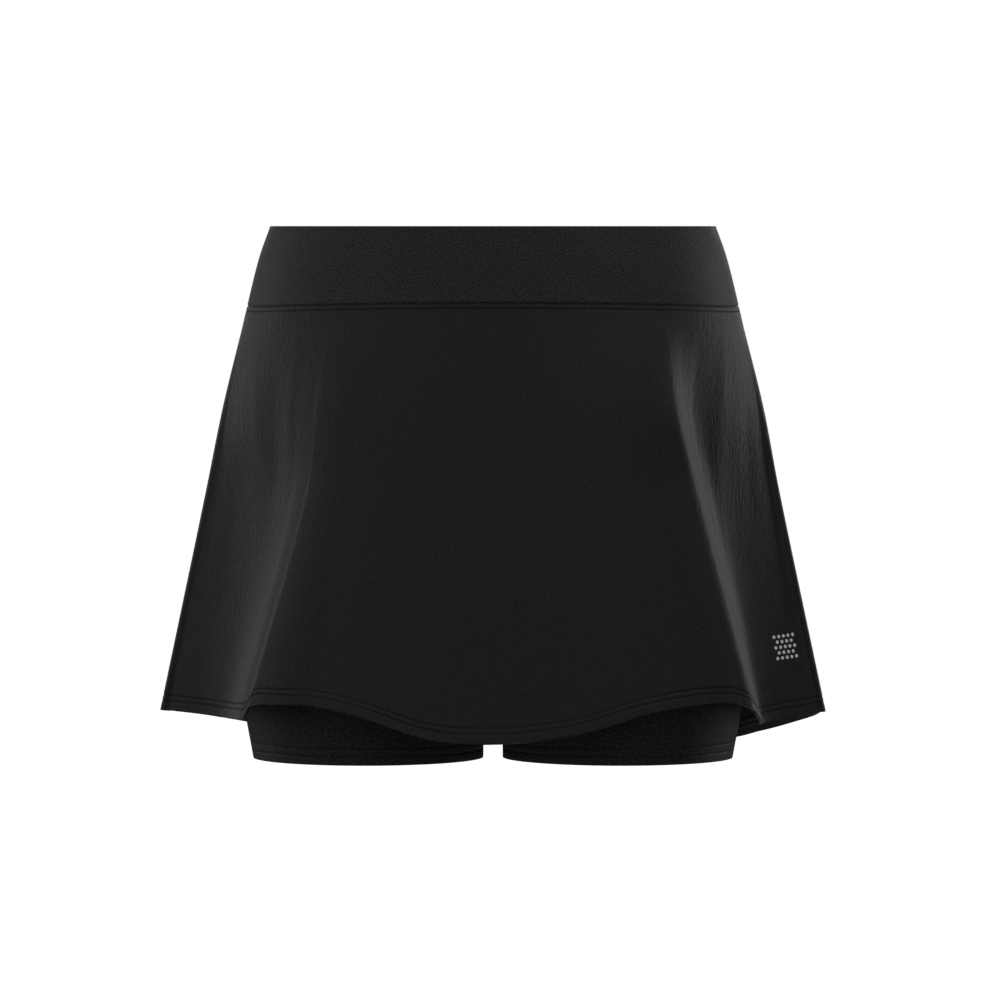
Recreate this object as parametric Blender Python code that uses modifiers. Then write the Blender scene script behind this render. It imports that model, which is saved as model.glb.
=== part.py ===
"""A tennis skort: a wide waistband, a flared skirt of two panels, and fitted shorts under it.

Metres, +Z up, and the front faces -Y.  The origin is the middle of the waist opening, level with
the top rim.  Each panel is one wall of cloth: a function of the cut places its outer face, and
Solidify thickens it inward.  The tables are in millimetres, and a drop is a distance below the rim.
"""

import bisect
import functools
import math
from collections import namedtuple

import bmesh
import bpy
from mathutils import Vector

MM = 0.001

# Cloth walls, and the gap between two pieces at a seam
BAND_WALL = 2.8
SKIRT_WALL = 1.2
SHORTS_WALL = 1.2
SEAM_GAP = 0.3

# The seam under the waistband dips from the centres of the front and back to the sides
SEAM_DROP_AT_CENTRE = 47.9
SEAM_DROP_AT_SIDE = 51.6
# The shorts lie inside the skirt, so the slope of the cloth sets their top edge a little lower
SHORTS_TOP_EASE = 0.5

# The skirt's folds open from the start down, and these are the levels that a fold line is set at,
# as shares of the skirt's length
START_SHARE = 0.05
HIP_SHARE = 0.25
MIDDLE_SHARE = 0.46
# A line that opens evenly has swung this share of its way at the hip and at the middle
HIP_OPENED = 0.12
MIDDLE_OPENED = 0.32

# The shorts part into two legs between these drops
FORK_DROP = 222.0
CROTCH_DROP = 275.0
SHORTS_HEM_DROP = 346.0
SHORTS_FRONT_RISE = 4.5
LEG_GAP = 12.4

# Mesh density
SKIRT_COLUMN_DEG = 4.0
SKIRT_LEAST_COLUMNS = 2
SKIRT_ROWS = 13
BAND_COLUMNS = 30
BAND_ROWS = 4
EDGE_COLUMN_DEG = 0.8
EDGE_COLUMN_SHARE = 0.01
SHORTS_COLUMNS = 14
TRUNK_ROWS = 5
FORK_ROWS = 6
LEG_ROWS = 4

BLACK_RIB = (0.020, 0.020, 0.021)
BLACK_KNIT = (0.016, 0.016, 0.017)
BLACK_SHORTS = (0.013, 0.013, 0.014)
KNIT_ROUGHNESS = 0.75

Level = namedtuple("Level", "name drop half_width front_depth back_depth")

# The waistband's and the skirt's plain cut, before the folds
OUTER_CUT = (
    Level("rim", 0, 144.5, 103.5, 102.0),
    Level("upper band", 20, 151.6, 108.2, 107.5),
    Level("seam", 50, 159.2, 113.0, 114.0),
    Level("hip", 113, 173.4, 124.5, 130.0),
    Level("mid skirt", 210, 193.9, 137.5, 148.0),
    Level("hem", 316, 216.2, 150.0, 164.0),
    Level("below hem", 356, 224.6, 154.6, 170.0),
)

# The shorts' outer face
SHORTS_CUT = (
    Level("top", 48, 157.1, 111.0, 111.9),
    Level("hip", 113, 169.4, 120.8, 127.2),
    Level("seat", 165, 168.6, 121.0, 130.0),
    Level("fork", 222, 165.6, 113.5, 123.0),
    Level("under seat", 255, 164.8, 107.5, 114.5),
    Level("crotch", 275, 164.2, 101.0, 106.0),
    Level("thigh", 310, 162.4, 95.0, 98.0),
    Level("hem", 346, 156.4, 90.0, 93.0),
)

# A row of a shorts panel: parted grows from 0 on the trunk to 1 on a leg, and leg_share from 0
# at the crotch to 1 at the hem
ShortsRow = namedtuple("ShortsRow", "drop parted leg_share")

FoldLine = namedtuple("FoldLine", "name turn x y drop hip_x hip_y middle_x middle_y",
                      defaults=(None, None, None, None))

# The lines that the skirt falls in: turn is a line's angle round the plain cut, from the centre
# front toward +X, in degrees.  x, y and drop are its place on the hem, and hip and middle are where
# it passes on the way down.  The lines without them open evenly.
FOLD_LINES = (
    FoldLine("back centre, left", -180, 0, 161, 352),
    FoldLine("back left flute", -166, -46, 168, 351),
    FoldLine("back left hollow", -151, -102, 143, 346),
    FoldLine("back left ridge", -139, -152, 145, 341),
    FoldLine("back left side", -128, -178, 122, 334),
    FoldLine("behind left side", -110, -205, 68, 323),
    FoldLine("left side seam", -90, -213.6, 0, 315.6, -174.5, 0, -184.5, 0),
    FoldLine("left side edge", -85, -214.6, -37.5, 311.4, -174, -28, -185.2, -30.2),
    FoldLine("left side flute", -81, -208.8, -41, 311.4, -170.3, -34, -180, -35.2),
    FoldLine("left side", -76, -200.7, -46.5, 311.7, -166.2, -40, -173.2, -41.5),
    FoldLine("left side front", -70, -190.8, -53, 312.1, -158.8, -51, -163, -50.5),
    FoldLine("left of fold", -64.5, -181.3, -61, 312.5, -150, -62.1, -153, -61),
    FoldLine("left fold foot", -59, -173, -70, 312.8, -141.8, -71, -143.8, -71.3),
    FoldLine("left fold back", -53.5, -167, -80.5, 312.3, -133.3, -79.5, -135.2, -81.7),
    FoldLine("left fold return", -48.5, -163.3, -92.3, 311.3, -126, -86.6, -128.4, -91),
    FoldLine("left ridge back", -44.5, -160.3, -106.5, 309.8, -119.5, -93, -124, -97.3),
    FoldLine("left ridge", -41, -154.2, -114.3, 309.2, -113, -98.6, -118.5, -103.6),
    FoldLine("left ridge inside", -39, -148.8, -118.2, 302, -108.8, -101.8, -114.9, -106.5),
    FoldLine("left hollow", -34, -135.5, -127, 298.9, -97, -108.3, -103.2, -113.8),
    FoldLine("left of front", -28, -112, -131.5, 299.7, -81.4, -112.8, -85.7, -119.6),
    FoldLine("front left", -20, -81.4, -140, 306, -59.3, -118.2, -62.5, -125.3),
    FoldLine("front centre left", -10, -40.8, -149, 318.2, -30.1, -123.3, -31.8, -131.1),
    FoldLine("front centre", 0, 0.2, -150.5, 321.4, 0, -125, 0, -132.6),
    FoldLine("front centre right", 12, 50.5, -147, 316.2, 36.1, -122.8, 38.3, -130),
    FoldLine("front right", 24, 95, -133, 304.8, 70.3, -116.5, 74.7, -121.9),
    FoldLine("right hollow", 33, 129.9, -121, 299.5, 94.5, -113.5, 100.2, -116),
    FoldLine("right ridge inside", 38.5, 153, -120.3, 298.7, 107.5, -112.6, 118.3, -111.5),
    FoldLine("right ridge", 42, 163.5, -116, 303, 114.8, -109, 127.2, -106.6),
    FoldLine("right ridge back", 44.6, 168, -108.5, 308.5, 118.5, -102.8, 130.9, -100.5),
    FoldLine("right fold return", 48, 170.8, -96, 313.7, 121.6, -94, 132.6, -88.8),
    FoldLine("right fold back", 53.4, 171.2, -82, 315.3, 126.8, -84, 138, -78),
    FoldLine("right fold foot", 59.5, 172.5, -71.5, 316.2, 138.8, -73, 145, -69),
    FoldLine("right of fold", 64.5, 178.8, -65, 315.6, 149.7, -62.2, 154, -60),
    FoldLine("right side front", 70, 188.6, -57.8, 314.5, 159.5, -50.5, 164.3, -51),
    FoldLine("right side", 76, 199.2, -51, 313.5, 165.8, -41.8, 173.6, -42.5),
    FoldLine("right side flute", 81, 208.6, -45.2, 312.5, 170.2, -35.8, 180, -36),
    FoldLine("right side edge", 85, 214.4, -41.6, 312, 174.2, -30, 184.8, -31.8),
    FoldLine("right side seam", 90, 213.6, 2, 317.2, 174.6, 0.5, 184, 0.8),
    FoldLine("behind right side", 108, 207, 62, 328),
    FoldLine("back right side", 125, 184, 116, 341),
    FoldLine("back right ridge", 137, 162, 143, 349),
    FoldLine("back right hollow", 149, 112, 139, 352),
    FoldLine("back right flute", 164, 56, 166, 354),
    FoldLine("back centre", 180, 0, 161, 352),
)


def spread(start, end, steps):
    """Values from start to end in equal steps."""
    return [start + (end - start) * step / steps for step in range(steps + 1)]


def curve_through(stops, values, at):
    """The value at a place on the smooth curve through values, which lie at rising stops."""
    last = len(stops) - 1
    first = max(0, min(bisect.bisect_right(stops, at) - 1, last - 1))
    span = stops[first + 1] - stops[first]
    share = (at - stops[first]) / span

    def slope(index):
        before = max(index - 1, 0)
        after = min(index + 1, last)
        return (values[after] - values[before]) / (stops[after] - stops[before])

    leaving = (2 * share - 3) * share ** 2 + 1
    arriving = 1 - leaving
    push = ((share - 2) * share + 1) * share * span
    pull = (share - 1) * share ** 2 * span
    return (values[first] * leaving + slope(first) * push
            + values[first + 1] * arriving + slope(first + 1) * pull)


def level_at(cut, drop):
    """Half width, front depth and back depth of a cut at a drop below the rim."""
    drops = [level.drop for level in cut]
    sizes = [Vector(level[2:]) for level in cut]
    return curve_through(drops, sizes, drop)


def oval(cut, turn, drop):
    """A place on the plain oval that a cut makes at a drop."""
    half_width, front_depth, back_depth = level_at(cut, drop)
    angle = math.radians(turn)
    depth = front_depth if math.cos(angle) > 0 else back_depth
    return Vector((half_width * math.sin(angle), -depth * math.cos(angle), -drop))


def seam_drop(turn):
    """How far the waist seam lies below the rim."""
    rise = SEAM_DROP_AT_SIDE - SEAM_DROP_AT_CENTRE
    return SEAM_DROP_AT_SIDE - rise * math.cos(math.radians(turn)) ** 2


def fold_swings(line):
    """How far a line swings from the plain cut at the hip, at the middle and at the hem."""
    places = ((HIP_SHARE, line.hip_x, line.hip_y), (MIDDLE_SHARE, line.middle_x, line.middle_y))
    hem_swing = Vector((line.x, line.y, -line.drop)) - oval(OUTER_CUT, line.turn, line.drop)
    if line.hip_x is None:
        return hem_swing * HIP_OPENED, hem_swing * MIDDLE_OPENED, hem_swing
    top = seam_drop(line.turn)
    swings = []
    for share, x, y in places:
        drop = top + share * (line.drop - top)
        swings.append(Vector((x, y, -drop)) - oval(OUTER_CUT, line.turn, drop))
    return *swings, hem_swing


@functools.lru_cache(maxsize=None)
def fold_at(turn):
    """The hem's drop at a turn, and how far the cloth there swings at each of the three levels."""
    turn = (turn + 180) % 360 - 180
    ring = [line._replace(turn=line.turn - 360) for line in FOLD_LINES[-3:-1]]
    ring += FOLD_LINES
    ring += [line._replace(turn=line.turn + 360) for line in FOLD_LINES[1:3]]
    turns = [line.turn for line in ring]
    drop = curve_through(turns, [line.drop for line in ring], turn)
    levels = zip(*(fold_swings(line) for line in ring))
    return drop, [curve_through(turns, swings, turn) for swings in levels]


def skirt_place(turn, share):
    """A place on the skirt's outer face, from the seam at share 0 to the hem at share 1."""
    hem_drop, swings = fold_at(turn)
    top_drop = seam_drop(turn) + SEAM_GAP / 2
    drop = top_drop + share * (hem_drop - top_drop)
    stops = (START_SHARE, HIP_SHARE, MIDDLE_SHARE, 1.0)
    swing = curve_through(stops, (Vector((0.0, 0.0, 0.0)), *swings), max(share, START_SHARE))
    return oval(OUTER_CUT, turn, drop) + swing


def band_place(turn, share):
    """A place on the waistband's outer face, from the rim at share 0 to its seam at share 1."""
    return oval(OUTER_CUT, turn, share * (seam_drop(turn) - SEAM_GAP / 2))


def shorts_place(side, face, across, row):
    """A place on the shorts: across runs from the centre seam or inseam (0) to the side seam (1).

    side is +1 or -1 along X, and face is -1 for the front panel and +1 for the back one.
    """
    angle = math.pi * across
    top_drop = seam_drop(90 * across) + SEAM_GAP / 2 + SHORTS_TOP_EASE
    rise = SHORTS_FRONT_RISE * math.sin(angle) * row.leg_share if face < 0 else 0.0
    drop = max(row.drop - rise, top_drop)
    outer, front_depth, back_depth = level_at(SHORTS_CUT, drop)
    depth = front_depth if face < 0 else back_depth
    inner = LEG_GAP / 2 * math.sin(math.pi / 2 * row.leg_share)
    leg_middle = (outer + inner) / 2
    leg_half = (outer - inner) / 2
    # On the trunk the panel is a quarter oval, and on the leg it is half of a smaller one
    trunk_out = outer * math.sin(angle / 2)
    leg_out = leg_middle - leg_half * math.cos(angle)
    out = trunk_out + (leg_out - trunk_out) * math.sqrt(1 - (1 - row.parted) ** 2)
    trunk_reach = math.sqrt(max(0.0, 1 - (out / outer) ** 2))
    leg_reach = math.sqrt(max(0.0, 1 - ((out - leg_middle) / leg_half) ** 2))
    reach = trunk_reach + (leg_reach - trunk_reach) * row.parted
    return Vector((side * out, face * depth * reach, -drop))


def shorts_rows():
    """The rows of a shorts panel: down the trunk, under the body to the crotch, down the leg."""
    trunk = [ShortsRow(drop, 0.0, 0.0)
             for drop in spread(SEAM_DROP_AT_CENTRE, FORK_DROP, TRUNK_ROWS)]
    # The centre seam runs under the body in a quarter round
    fork = [ShortsRow(FORK_DROP + (CROTCH_DROP - FORK_DROP) * math.sin(lean),
                      1 - math.cos(lean), 0.0)
            for lean in spread(0, math.pi / 2, FORK_ROWS)[1:]]
    leg = [ShortsRow(CROTCH_DROP + share * (SHORTS_HEM_DROP - CROTCH_DROP), 1.0, share)
           for share in spread(0, 1, LEG_ROWS)[1:]]
    return trunk + fork + leg


def knit(name, colour):
    """A plain knit material."""
    material = bpy.data.materials.new(name)
    material.use_nodes = True
    shader = material.node_tree.nodes["Principled BSDF"]
    shader.inputs["Base Color"].default_value = (*colour, 1)
    shader.inputs["Roughness"].default_value = KNIT_ROUGHNESS
    shader.inputs["Metallic"].default_value = 0
    material.diffuse_color = (*colour, 1)
    return material


def cloth_panel(name, collection, material, wall, columns, rows, place):
    """A grid of cloth whose vertex at a column and row value lies at place(column, row)."""
    sheet = bmesh.new()
    bmesh.ops.create_grid(sheet, x_segments=len(columns) - 1, y_segments=len(rows) - 1, size=0.5)
    for vertex in sheet.verts:
        column = round((vertex.co.x + 0.5) * (len(columns) - 1))
        row = round((0.5 - vertex.co.y) * (len(rows) - 1))
        vertex.co = place(columns[column], rows[row]) * MM
    mesh = bpy.data.meshes.new(name)
    sheet.to_mesh(mesh)
    sheet.free()
    mesh.shade_smooth()
    mesh.materials.append(material)
    panel = bpy.data.objects.new(name, mesh)
    collection.objects.link(panel)
    thickness = panel.modifiers.new("cloth wall", "SOLIDIFY")
    thickness.thickness = wall * MM
    thickness.offset = -1
    thickness.use_even_offset = True
    return panel


def with_narrow_edges(columns, width):
    """The columns with a narrow one at each edge, so that the wall's edge is square to the cloth."""
    return [columns[0], columns[0] + width, *columns[1:-1], columns[-1] - width, columns[-1]]


def held_at_side_seams(place, face):
    """The same surface, with its two side edges drawn back half a seam gap toward face."""
    def held(turn, share):
        point = place(turn, share)
        if abs(math.cos(math.radians(turn))) < 1e-6:
            point.y += face * SEAM_GAP / 2
        return point
    return held


def skirt_columns(start, end):
    """Turns from start to end, closer together where the fold lines are close."""
    marks = [line.turn + lap for lap in (0, 360) for line in FOLD_LINES[:-1]]
    marks = [mark for mark in marks if start <= mark <= end]
    turns = [start]
    for mark, following in zip(marks, marks[1:]):
        steps = max(SKIRT_LEAST_COLUMNS, math.ceil((following - mark) / SKIRT_COLUMN_DEG))
        turns += spread(mark, following, steps)[1:]
    return turns


def make_waistband(collection):
    """A plain rib band with a straight top, in a front half and a back half."""
    material = knit("black rib knit", BLACK_RIB)
    rows = spread(0, 1, BAND_ROWS)
    for name, start, face in (("waistband_front", -90, -1), ("waistband_back", 90, 1)):
        columns = spread(start, start + 180, BAND_COLUMNS)
        columns = with_narrow_edges(columns, EDGE_COLUMN_DEG)
        place = held_at_side_seams(band_place, face)
        cloth_panel(name, collection, material, BAND_WALL, columns, rows, place)


def make_skirt(collection):
    """The flared outer skirt, joined at the side seams, with its folds."""
    material = knit("black smooth knit", BLACK_KNIT)
    rows = spread(0, 1, SKIRT_ROWS)
    for name, start, face in (("skirt_front", -90, -1), ("skirt_back", 90, 1)):
        columns = with_narrow_edges(skirt_columns(start, start + 180), EDGE_COLUMN_DEG)
        place = held_at_side_seams(skirt_place, face)
        cloth_panel(name, collection, material, SKIRT_WALL, columns, rows, place)


def make_shorts(collection):
    """Fitted shorts in four panels, joined at the centre seam, the inseams and the side seams."""
    material = knit("black shorts knit", BLACK_SHORTS)
    rows = shorts_rows()
    for side_name, side in (("left", -1), ("right", 1)):
        for face_name, face in (("front", -1), ("back", 1)):
            columns = with_narrow_edges(spread(0, 1, SHORTS_COLUMNS), EDGE_COLUMN_SHARE)
            if side * face > 0:
                columns.reverse()

            def place(across, row):
                point = shorts_place(side, face, across, row)
                point.x = side * max(abs(point.x), SEAM_GAP / 2)
                at_inseam = across == 0 and row.parted > 0.999
                if at_inseam or across == 1:
                    point.y += face * SEAM_GAP / 2
                return point

            name = f"shorts_{face_name}_{side_name}"
            cloth_panel(name, collection, material, SHORTS_WALL, columns, rows, place)


def make_skort():
    """The whole garment, in a collection of its own."""
    for old in list(bpy.data.objects):
        bpy.data.objects.remove(old)
    collection = bpy.data.collections.new("tennis skort")
    bpy.context.scene.collection.children.link(collection)
    make_waistband(collection)
    make_skirt(collection)
    make_shorts(collection)


make_skort()
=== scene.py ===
"""A black tennis skort as it is worn: a rib waistband, a flared skirt, and fitted shorts under it.

Sizes are in millimetres.  A turn is an angle in degrees round the body, from the centre front
toward +X, and a drop is a distance below the top rim.  The front faces -Y.
"""

import bisect
import functools
import itertools
import math
from collections import namedtuple

import bmesh
import bpy
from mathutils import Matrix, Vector


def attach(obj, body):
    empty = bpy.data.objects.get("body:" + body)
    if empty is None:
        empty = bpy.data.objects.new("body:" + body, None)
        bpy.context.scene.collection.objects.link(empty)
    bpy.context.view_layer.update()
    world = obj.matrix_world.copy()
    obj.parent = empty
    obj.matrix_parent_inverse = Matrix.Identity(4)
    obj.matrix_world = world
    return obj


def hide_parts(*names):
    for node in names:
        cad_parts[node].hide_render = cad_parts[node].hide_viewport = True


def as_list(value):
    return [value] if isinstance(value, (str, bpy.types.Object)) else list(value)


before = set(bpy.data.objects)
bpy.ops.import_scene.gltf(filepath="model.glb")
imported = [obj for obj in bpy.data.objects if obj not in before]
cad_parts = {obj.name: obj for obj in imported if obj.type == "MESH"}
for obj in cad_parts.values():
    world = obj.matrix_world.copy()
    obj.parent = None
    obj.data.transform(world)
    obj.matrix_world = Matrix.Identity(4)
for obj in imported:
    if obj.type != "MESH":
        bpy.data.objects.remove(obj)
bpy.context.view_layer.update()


# Waistband.  A wide band of black rib knit, folded double so that its top edge is a soft roll.
# It is cut in a front and a back half that meet at the side seams, and its lower edge is drawn in
# where the skirt and the shorts are sewn to it.

MM = 0.001
BAND_WALL = 2.8
BAND_ROLL = 1.0
BAND_COLUMN_DEG = 2.0
BAND_FLAT = (420.0, 51.0)
SEAM_DROP_AT_CENTRE = 47.9
SEAM_DROP_AT_SIDE = 51.6
DITCH_DEPTH = 0.7
DITCH_REACH = 0.55
BAND_SIDE_DITCH = 0.35
RIB_PITCH = 3.2
RIB_BLACK = (0.0180, 0.0180, 0.0185)

Level = namedtuple("Level", "name drop half_width front_depth back_depth")

OUTER_CUT = (
    Level("rim", 0, 144.5, 103.5, 102.0),
    Level("upper band", 20, 151.6, 108.2, 107.5),
    Level("seam", 50, 159.2, 113.0, 114.0),
    Level("hip", 113, 173.4, 124.5, 130.0),
    Level("mid skirt", 210, 193.9, 137.5, 148.0),
    Level("hem", 316, 216.2, 150.0, 164.0),
    Level("below hem", 356, 224.6, 154.6, 170.0),
)

# A row of a panel lies this share of the way down it, and then offset millimetres further
Row = namedtuple("Row", "share offset")


def spread(start, end, steps):
    """Values from start to end in equal steps."""
    return [start + (end - start) * step / steps for step in range(steps + 1)]


def curve_through(stops, values, at):
    """The value at a place on the smooth curve through values, which lie at rising stops."""
    last = len(stops) - 1
    first = max(0, min(bisect.bisect_right(stops, at) - 1, last - 1))
    span = stops[first + 1] - stops[first]
    share = (at - stops[first]) / span

    def slope(index):
        before = max(index - 1, 0)
        after = min(index + 1, last)
        return (values[after] - values[before]) / (stops[after] - stops[before])

    leaving = (2 * share - 3) * share ** 2 + 1
    arriving = 1 - leaving
    push = ((share - 2) * share + 1) * share * span
    pull = (share - 1) * share ** 2 * span
    return (values[first] * leaving + slope(first) * push
            + values[first + 1] * arriving + slope(first + 1) * pull)


def oval(cut, turn, drop):
    """A place on the plain oval that a cut makes at a drop."""
    drops = [level.drop for level in cut]
    sizes = [Vector(level[2:]) for level in cut]
    half_width, front_depth, back_depth = curve_through(drops, sizes, drop)
    angle = math.radians(turn)
    depth = front_depth if math.cos(angle) > 0 else back_depth
    return Vector((half_width * math.sin(angle), -depth * math.cos(angle), -drop))


def seam_drop(turn):
    """How far the waist seam lies below the rim."""
    rise = SEAM_DROP_AT_SIDE - SEAM_DROP_AT_CENTRE
    return SEAM_DROP_AT_SIDE - rise * math.cos(math.radians(turn)) ** 2


def hollow(distance, reach):
    """A smooth dip: 1 where the distance is nothing, and gone two or three reaches away."""
    return math.exp(-(distance / reach) ** 2)


def shares_across(columns, place):
    """How far across the cloth each column lies, from -0.5 to 0.5 of its width."""
    points = [place(column) for column in columns]
    steps = [(after - before).length for before, after in zip(points, points[1:])]
    runs = list(itertools.accumulate(steps, initial=0.0))
    return {column: run / runs[-1] - 0.5 for column, run in zip(columns, runs)}


def cloth_panel(name, columns, rows, place, relief, spot, wall, roll):
    """A panel of cloth, built as a grid whose outer face lies at place(column, row).

    relief(column, row) raises the face, spot(column, row) is the same point on the flat cut, which
    the knit follows, and wall(column, row) is the cloth's thickness there.
    """
    cloth = bmesh.new()
    bmesh.ops.create_grid(cloth, x_segments=len(columns) - 1, y_segments=len(rows) - 1, size=0.5)
    thickness = cloth.verts.layers.deform.verify()
    cut = cloth.loops.layers.uv.new("cut")
    at = {}
    for vertex in cloth.verts:
        column = columns[round((vertex.co.x + 0.5) * (len(columns) - 1))]
        row = rows[round((0.5 - vertex.co.y) * (len(rows) - 1))]
        at[vertex] = (column, row)
        vertex.co = place(column, row) * MM
    cloth.normal_update()
    lifts = [(vertex, vertex.normal * relief(*at[vertex]) * MM) for vertex in cloth.verts]
    for vertex, lift in lifts:
        vertex.co += lift
    walls = {vertex: wall(*at[vertex]) for vertex in cloth.verts}
    thickest = max(walls.values())
    for vertex in cloth.verts:
        vertex[thickness][0] = walls[vertex] / thickest
    for face in cloth.faces:
        for corner in face.loops:
            corner[cut].uv = Vector(spot(*at[corner.vert])) * MM
    mesh = bpy.data.meshes.new(name)
    cloth.to_mesh(mesh)
    cloth.free()
    mesh.shade_smooth()
    panel = bpy.data.objects.new(name, mesh)
    bpy.context.scene.collection.objects.link(panel)
    panel.vertex_groups.new(name="cloth thickness")
    thick = panel.modifiers.new("cloth wall", "SOLIDIFY")
    thick.thickness = thickest * MM
    thick.offset = -1
    thick.use_even_offset = True
    thick.vertex_group = "cloth thickness"
    rolled = panel.modifiers.new("rolled edges", "BEVEL")
    rolled.width = roll * MM
    rolled.segments = 3
    rolled.limit_method = "ANGLE"
    rolled.angle_limit = math.radians(60)
    return panel


def wire(tree, kind, inputs, **settings):
    """Adds a node, sets it up, and feeds the named or numbered inputs from sockets or values."""
    made = tree.nodes.new(kind)
    for setting, value in settings.items():
        setattr(made, setting, value)
    for socket, source in inputs.items():
        if isinstance(source, bpy.types.NodeSocket):
            tree.links.new(source, made.inputs[socket])
        else:
            made.inputs[socket].default_value = source
    return made


def maths(tree, operation, *terms):
    """The result of a Math node on these terms."""
    return wire(tree, "ShaderNodeMath", dict(enumerate(terms)), operation=operation).outputs[0]


# The knit's unevenness: how many times to the metre it changes, and by how much
WANDER_PER_METRE = 45.0
WANDER_WIDTH = 0.0022
CRINKLE_PER_METRE = 420.0
CRINKLE_STRETCH = 0.3
FUZZ_PER_METRE = 900.0
FUZZ_LOW = 0.32
FUZZ_HIGH = 0.68
WALE_BLUNTNESS = 0.6
COURSE_SHARE = 0.35


def knit_face_group():
    """The face of a knit: upright wales, courses across them, and the fuzz of the yarn.

    Cut is the point on the flat cloth, in metres.  Height runs from 0 to 1, and so does Fleck,
    which is the yarn's own unevenness from loop to loop.
    """
    tree = bpy.data.node_groups.new("knit face", "ShaderNodeTree")
    for name, kind in (("Cut", "NodeSocketVector"), ("Wale Pitch", "NodeSocketFloat"),
                       ("Course Pitch", "NodeSocketFloat"), ("Wale Height", "NodeSocketFloat"),
                       ("Crinkle Height", "NodeSocketFloat"), ("Fuzz Height", "NodeSocketFloat")):
        tree.interface.new_socket(name, in_out="INPUT", socket_type=kind)
    for name in ("Height", "Fleck"):
        tree.interface.new_socket(name, in_out="OUTPUT", socket_type="NodeSocketFloat")
    given = tree.nodes.new("NodeGroupInput").outputs
    cut = given["Cut"]
    wander = wire(tree, "ShaderNodeTexNoise", {
        "Vector": cut, "Scale": WANDER_PER_METRE, "Detail": 1.0})
    parts = wire(tree, "ShaderNodeSeparateXYZ", {0: cut}).outputs
    drift = maths(tree, "MULTIPLY_ADD", wander.outputs[0], WANDER_WIDTH, parts[0])
    wale = maths(tree, "DIVIDE", drift, given["Wale Pitch"])
    wale = maths(tree, "MULTIPLY", wale, math.pi)
    wale = maths(tree, "ABSOLUTE", maths(tree, "SINE", wale))
    wale = maths(tree, "POWER", wale, WALE_BLUNTNESS)
    course = maths(tree, "DIVIDE", parts[1], given["Course Pitch"])
    course = maths(tree, "MULTIPLY", course, math.pi)
    course = maths(tree, "ABSOLUTE", maths(tree, "SINE", course))
    loops = maths(tree, "MULTIPLY_ADD", course, COURSE_SHARE, wale)
    long_cut = wire(tree, "ShaderNodeMapping", {
        "Vector": cut, "Scale": (1.0, CRINKLE_STRETCH, 1.0)})
    crinkle = wire(tree, "ShaderNodeTexNoise", {
        "Vector": long_cut.outputs[0], "Scale": CRINKLE_PER_METRE, "Detail": 1.0,
        "Distortion": 0.5})
    fuzz = wire(tree, "ShaderNodeTexNoise", {
        "Vector": cut, "Scale": FUZZ_PER_METRE, "Detail": 2.0, "Roughness": 0.6})
    height = maths(tree, "MULTIPLY", loops, given["Wale Height"])
    height = maths(tree, "MULTIPLY_ADD", crinkle.outputs[0], given["Crinkle Height"], height)
    height = maths(tree, "MULTIPLY_ADD", fuzz.outputs[0], given["Fuzz Height"], height)
    fleck = wire(tree, "ShaderNodeMapRange", {
        "Value": fuzz.outputs[0], "From Min": FUZZ_LOW, "From Max": FUZZ_HIGH})
    wire(tree, "NodeGroupOutput", {"Height": height, "Fleck": fleck.outputs[0]})
    return tree


KNIT_FACE = knit_face_group()
BUMP_DISTANCE = 0.0003
DARKEST_LOOP = 0.10
LIGHTEST_LOOP = 1.90
DULLEST_LOOP = 0.66
SMOOTHEST_LOOP = 0.54
BLOOM_ROUGHNESS = 0.35


def knit_material(name, colour, shine, bloom, face):
    """A dull black knit: its fuzz lightens it from loop to loop, and blooms where it turns away.

    face gives the pitches and heights of the knit's face.
    """
    material = bpy.data.materials.new(name)
    material.use_nodes = True
    tree = material.node_tree
    shader = tree.nodes["Principled BSDF"]
    cut = wire(tree, "ShaderNodeUVMap", {}, uv_map="cut").outputs[0]
    knit = wire(tree, "ShaderNodeGroup", {"Cut": cut, **face}, node_tree=KNIT_FACE).outputs
    shade = wire(tree, "ShaderNodeMapRange", {
        "Value": knit["Fleck"], "To Min": DARKEST_LOOP, "To Max": LIGHTEST_LOOP})
    black = wire(tree, "ShaderNodeVectorMath", {0: colour, "Scale": shade.outputs[0]},
                 operation="SCALE")
    rough = wire(tree, "ShaderNodeMapRange", {
        "Value": knit["Fleck"], "To Min": DULLEST_LOOP, "To Max": SMOOTHEST_LOOP})
    bump = wire(tree, "ShaderNodeBump", {
        "Height": knit["Height"], "Strength": 1.0, "Distance": BUMP_DISTANCE})
    tree.links.new(black.outputs[0], shader.inputs["Base Color"])
    tree.links.new(rough.outputs[0], shader.inputs["Roughness"])
    tree.links.new(bump.outputs[0], shader.inputs["Normal"])
    shader.inputs["Specular IOR Level"].default_value = shine
    shader.inputs["Sheen Weight"].default_value = bloom
    shader.inputs["Sheen Roughness"].default_value = BLOOM_ROUGHNESS
    material.diffuse_color = (*colour, 1)
    return material


def band_place(turn, row):
    """A place on the waistband's outer face, from the rim down to its seam."""
    length = seam_drop(turn)
    return oval(OUTER_CUT, turn, row.share * length + row.offset)


def band_relief(turn, row):
    """The band dips into the waist seam and into its side seams."""
    from_seam = (1 - row.share) * seam_drop(turn) - row.offset
    from_side = (90 - abs((turn + 90) % 180 - 90)) * math.radians(OUTER_CUT[2].front_depth)
    return -max(DITCH_DEPTH * hollow(from_seam, DITCH_REACH),
                BAND_SIDE_DITCH * hollow(from_side, DITCH_REACH))


def edge_columns(start, end, step):
    """Turns from one side seam to the other, with narrow columns beside the seams."""
    near = [0.25, 0.6, 1.1]
    plain = spread(start + near[-1], end - near[-1], round((end - start) / step))
    return [start, *[start + turn for turn in near[:-1]], *plain,
            *[end - turn for turn in near[-2::-1]], end]


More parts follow.
